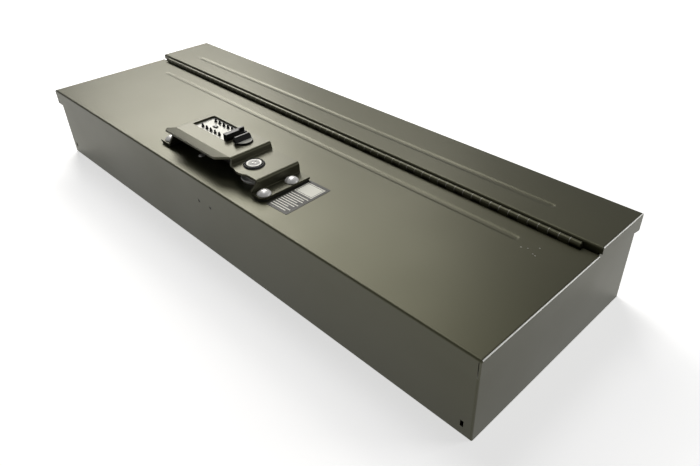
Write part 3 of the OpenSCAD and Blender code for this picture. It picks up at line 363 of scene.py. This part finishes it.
def put_in(name, form, body, finish):
    """Makes a smooth-shaded piece of a bmesh, already in place, that moves with a body."""
    for face in form.faces:
        face.smooth = True
    mesh = bpy.data.meshes.new(name)
    form.to_mesh(mesh)
    form.free()
    mesh.materials.append(finish)
    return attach(new_object(name, mesh), body)


def flat_patch(form, turn, x0, x1, y0, y1, z):
    """A flat rectangle in a turned frame, facing up."""
    place = turn @ Matrix.Translation(((x0 + x1) / 2 * MM, (y0 + y1) / 2 * MM, z * MM))
    place = place @ Matrix.Diagonal(((x1 - x0) / 2 * MM, (y1 - y0) / 2 * MM, 1, 1))
    bmesh.ops.create_grid(form, x_segments=1, y_segments=1, size=1.0, matrix=place)


def make_label_print():
    """The label's print, kept bare of words: a light field with a thin frame, and bars."""
    low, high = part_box("info_label")
    middle = (low + high) / 2
    turn = (Matrix.Translation((middle.x, middle.y, 0))
            @ Matrix.Rotation(math.radians(LABEL_TURN), 4, "Z"))
    top = high.z / MM
    light, dark = bmesh.new(), bmesh.new()
    left, right, front, back = FIELD
    flat_patch(light, turn, left, right, front, back, top + PRINT_LIFT)
    left, right = left + FRAME_INSET, right - FRAME_INSET
    front, back = front + FRAME_INSET, back - FRAME_INSET
    width = FRAME_WIDTH
    for strip in ((left, right, back - width, back), (left, right, front, front + width),
                  (left, left + width, front + width, back - width),
                  (right - width, right, front + width, back - width)):
        flat_patch(dark, turn, *strip, top + FRAME_LIFT)
    for row, cut in enumerate(BAR_CUTS):
        y = FIRST_BAR - BAR_PITCH * row
        flat_patch(light, turn, BARS_FROM, BARS_TO - cut, y - BAR_WIDTH / 2, y + BAR_WIDTH / 2,
                   top + PRINT_LIFT)
    put_in("label_print", light, "lid", label_ink)
    put_in("label_frame", dark, "lid", label_film)


def along_bead(step, start, end, half):
    """Where a column of a bead's grid lies: close together in the two round ends."""
    quarter_turn = math.pi / 2 / BEAD_END_COLUMNS
    if step <= BEAD_END_COLUMNS:
        return start + half * (1 - math.cos(quarter_turn * step))
    if step >= BEAD_COLUMNS - BEAD_END_COLUMNS:
        return end - half * (1 - math.cos(quarter_turn * (BEAD_COLUMNS - step)))
    share = (step - BEAD_END_COLUMNS) / (BEAD_COLUMNS - 2 * BEAD_END_COLUMNS)
    return start + half + (end - start - 2 * half) * share


def make_bead_faces():
    """The soft faces of the two beads: a shallow rounded channel over each pressed groove."""
    half = BEAD_HALF_WIDTH * MM
    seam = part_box("rear_top_panel")[0].y
    for name, sheet, away in (("bead_face_lid", "lid", -BEAD_FROM_SEAM),
                              ("bead_face_rear", "rear_top_panel", BEAD_FROM_SEAM)):
        low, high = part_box(sheet)
        start = low.x + (BEAD_LEFT - BEAD_LAP) * MM
        end = high.x - (BEAD_RIGHT - BEAD_LAP) * MM
        form = bmesh.new()
        bmesh.ops.create_grid(form, x_segments=BEAD_COLUMNS, y_segments=BEAD_ROWS, size=1.0)
        for vert in form.verts:
            x = along_bead((vert.co.x + 1) / 2 * BEAD_COLUMNS, start, end, half)
            beyond = max(0.0, start + half - x, x - (end - half))
            y = vert.co.y * math.sqrt(max(0.0, half * half - beyond * beyond))
            share = min(1.0, math.hypot(y, beyond) / half)
            rise = max(0.0, (share - BEAD_BOTTOM_SHARE) / (1 - BEAD_BOTTOM_SHARE))
            rise = rise * rise * (3 - 2 * rise)
            z = high.z + (BEAD_LIFT - BEAD_DEPTH * (1 - rise)) * MM
            vert.co = (x, seam + away * MM + y, z)
        put_in(name, form, BODY_OF[sheet], powder_coat)


def make_knuckle_highlights():
    """Thin rings where the hinge's knuckles meet, painted pale as a highlight."""
    low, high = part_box("hinge_pin")
    middle = (low + high) / 2
    pitch, radius = KNUCKLE_PITCH * MM, KNUCKLE_RADIUS * MM
    form = bmesh.new()
    along = Matrix.Rotation(math.radians(90), 4, "Y")
    for knuckle in range(1, KNUCKLES):
        x = pitch * (knuckle - KNUCKLES / 2)
        place = Matrix.Translation((x, middle.y, middle.z)) @ along
        bmesh.ops.create_cone(form, cap_ends=False, segments=KNUCKLE_SEGMENTS, radius1=radius,
                              radius2=radius, depth=KNUCKLE_EDGE * MM, matrix=place)
    put_in("knuckle_highlights", form, BODY_OF["hinge_pin"], pale_highlight_paint)


def flat_ring(middle, z, inner, outer):
    """A thin flat ring facing up, with its radii in millimetres."""
    form = bmesh.new()
    place = Matrix.Translation((middle.x, middle.y, z))
    for radius in (outer, inner):
        bmesh.ops.create_circle(form, segments=RING_SEGMENTS, radius=radius * MM, matrix=place)
    bmesh.ops.bridge_loops(form, edges=form.edges[:])
    bmesh.ops.reverse_faces(form, faces=form.faces[:])
    return form


def make_key_marks():
    """A fine ring and a painted dark rim, the bezel side's dark reflection, on the key lock's
    face, and two marks on its plug.
    """
    low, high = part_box("key_lock_body")
    middle, top = (low + high) / 2, high.z + MARK_LIFT * MM
    body = BODY_OF["key_lock_body"]
    put_in("plug_seam", flat_ring(middle, top, *FINE_RING), body, zinc)
    put_in("bezel_painted_rim", flat_ring(middle, top, *DARK_RIM), body, painted_dark_rim)
    stops = bmesh.new()
    away_x, away_y = STOP_PLACE
    half_x, half_y = STOP_HALF_SIZE
    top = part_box("key_plug")[1].z / MM + MARK_LIFT
    turn = Matrix.Translation((middle.x, middle.y, 0))
    for side in (-1, 1):
        x, y = side * away_x, side * away_y
        flat_patch(stops, turn, x - half_x, x + half_x, y - half_y, y + half_y, top)
    put_in("plug_stops", stops, BODY_OF["key_plug"], zinc)


def make_weld_dots():
    """Five small raised dots near the right end of the lid, painted pale as a highlight."""
    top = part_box("lid")[1].z
    flatten = Matrix.Diagonal((1, 1, DOT_FLATNESS, 1))
    form = bmesh.new()
    for x, y in DOTS:
        dot = bmesh.ops.create_uvsphere(form, u_segments=12, v_segments=6,
                                        radius=DOT_RADIUS * MM)["verts"]
        place = Matrix.Translation((x * MM, y * MM, top)) @ flatten
        bmesh.ops.transform(form, verts=dot, matrix=place)
    put_in("weld_dots", form, "lid", pale_highlight_paint)


def make_edge_rolls():
    """The rolled top edges at the right end, painted pale along the bend as a highlight."""
    for name, sheet in (("edge_roll_lid", "lid"), ("edge_roll_rear", "rear_top_panel")):
        low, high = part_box(sheet)
        front = low.y + ROLL_END * MM
        back = LID_ROLL_BACK * MM if sheet == "lid" else high.y - ROLL_END * MM
        centre = Vector((high.x - ROLL_CENTRE * MM, 0, high.z - ROLL_CENTRE * MM))
        form = bmesh.new()
        ends = [form.verts.new((centre.x, y, centre.z + ROLL_RADIUS * MM)) for y in (front, back)]
        line = form.edges.new(ends)
        bmesh.ops.spin(form, geom=[*ends, line], cent=centre, axis=(0, 1, 0),
                       angle=math.radians(90), steps=ROLL_STEPS)
        bmesh.ops.recalc_face_normals(form, faces=form.faces)
        put_in(name, form, BODY_OF[sheet], painted_highlight_edge)


def make_coils():
    """Copies of the button springs, each riding its CAD spring's body, with the CAD spring
    hidden.
    """
    for joint in BEHAVIOUR["joints"]:
        if not joint["name"].startswith("button_"):
            continue
        key = joint["name"].split("_")[1]
        spring = "spring_" + key
        coil = new_object("coil_" + key, NODES[spring].data.copy())
        coil.matrix_world = NODES[spring].matrix_world.copy()
        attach(coil, BODY_OF[spring])
        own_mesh(coil)
        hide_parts(spring)


# ---- Studio ----

def make_camera():
    """A camera in front of the right end, looking down along the box."""
    data = bpy.data.cameras.new("camera")
    data.sensor_width = CAMERA_SENSOR
    data.lens = CAMERA_LENS
    data.shift_x, data.shift_y = CAMERA_SHIFT
    data.clip_start = 0.01
    camera = new_object("camera", data)
    forward = CAMERA_RIGHT.cross(CAMERA_DOWN)
    turn = Matrix((CAMERA_RIGHT, -CAMERA_DOWN, -forward)).transposed()
    camera.matrix_world = Matrix.Translation(CAMERA_PLACE) @ turn.to_4x4()
    bpy.context.scene.camera = camera


def looked_at(tree, otherwise, strength):
    """A strength for rays from the camera, a reflection or glass, and another one otherwise."""
    path = tree.nodes.new("ShaderNodeLightPath")
    seen = path.outputs["Is Camera Ray"]
    for kind in ("Is Glossy Ray", "Is Transmission Ray"):
        either = tree.nodes.new("ShaderNodeMath")
        either.operation = "MAXIMUM"
        tree.links.new(seen, either.inputs[0])
        tree.links.new(path.outputs[kind], either.inputs[1])
        seen = either.outputs["Value"]
    mix = tree.nodes.new("ShaderNodeMapRange")
    mix.inputs["To Min"].default_value = otherwise
    mix.inputs["To Max"].default_value = strength
    tree.links.new(seen, mix.inputs["Value"])
    return mix.outputs["Result"]


def make_floor():
    """A round pale floor under the box. It takes the shadow, and gives off light only to
    what looks at it."""
    form = bmesh.new()
    bmesh.ops.create_circle(form, cap_ends=True, segments=96, radius=FLOOR_RADIUS)
    mesh = bpy.data.meshes.new("floor")
    form.to_mesh(mesh)
    form.free()
    floor = new_object("floor", mesh)
    material = bpy.data.materials.new("pale_floor")
    material.use_nodes = True
    tree = material.node_tree
    shader = tree.nodes["Principled BSDF"]
    shader.inputs["Base Color"].default_value = (0.9, 0.9, 0.9, 1)
    shader.inputs["Roughness"].default_value = 0.9
    shader.inputs["Specular IOR Level"].default_value = 0.1
    shader.inputs["Emission Color"].default_value = (1, 1, 1, 1)
    tree.links.new(looked_at(tree, 0.0, FLOOR_GLOW), shader.inputs["Emission Strength"])
    mesh.materials.append(material)


def make_world():
    """An even surround: weak as light, and brighter to what looks at it."""
    world = bpy.data.worlds.new("studio")
    world.use_nodes = True
    bpy.context.scene.world = world
    tree = world.node_tree
    background = tree.nodes["Background"]
    background.inputs["Color"].default_value = (1, 1, 1, 1)
    tree.links.new(looked_at(tree, SURROUND, BACKDROP), background.inputs["Strength"])


def make_lamps():
    """The square soft lamps, each looking at the box."""
    for name, compass, height, watts, tint in LAMPS:
        around, up = math.radians(compass), math.radians(height)
        way = Vector((math.cos(up) * math.cos(around), math.cos(up) * math.sin(around),
                      math.sin(up)))
        data = bpy.data.lights.new(name, "AREA")
        data.shape = "RECTANGLE"
        data.size = data.size_y = LAMP_SIZE
        data.energy = watts
        data.color = tint
        lamp = new_object(name, data)
        lamp.location = LAMP_AIM + LAMP_DISTANCE * way
        lamp.rotation_euler = (-way).to_track_quat("-Z", "Y").to_euler()


dress_nodes()
make_label_print()
make_bead_faces()
make_knuckle_highlights()
make_key_marks()
make_coils()
make_weld_dots()
make_edge_rolls()
make_camera()
make_floor()
make_world()
make_lamps()

bpy.context.scene.view_settings.view_transform = "Standard"
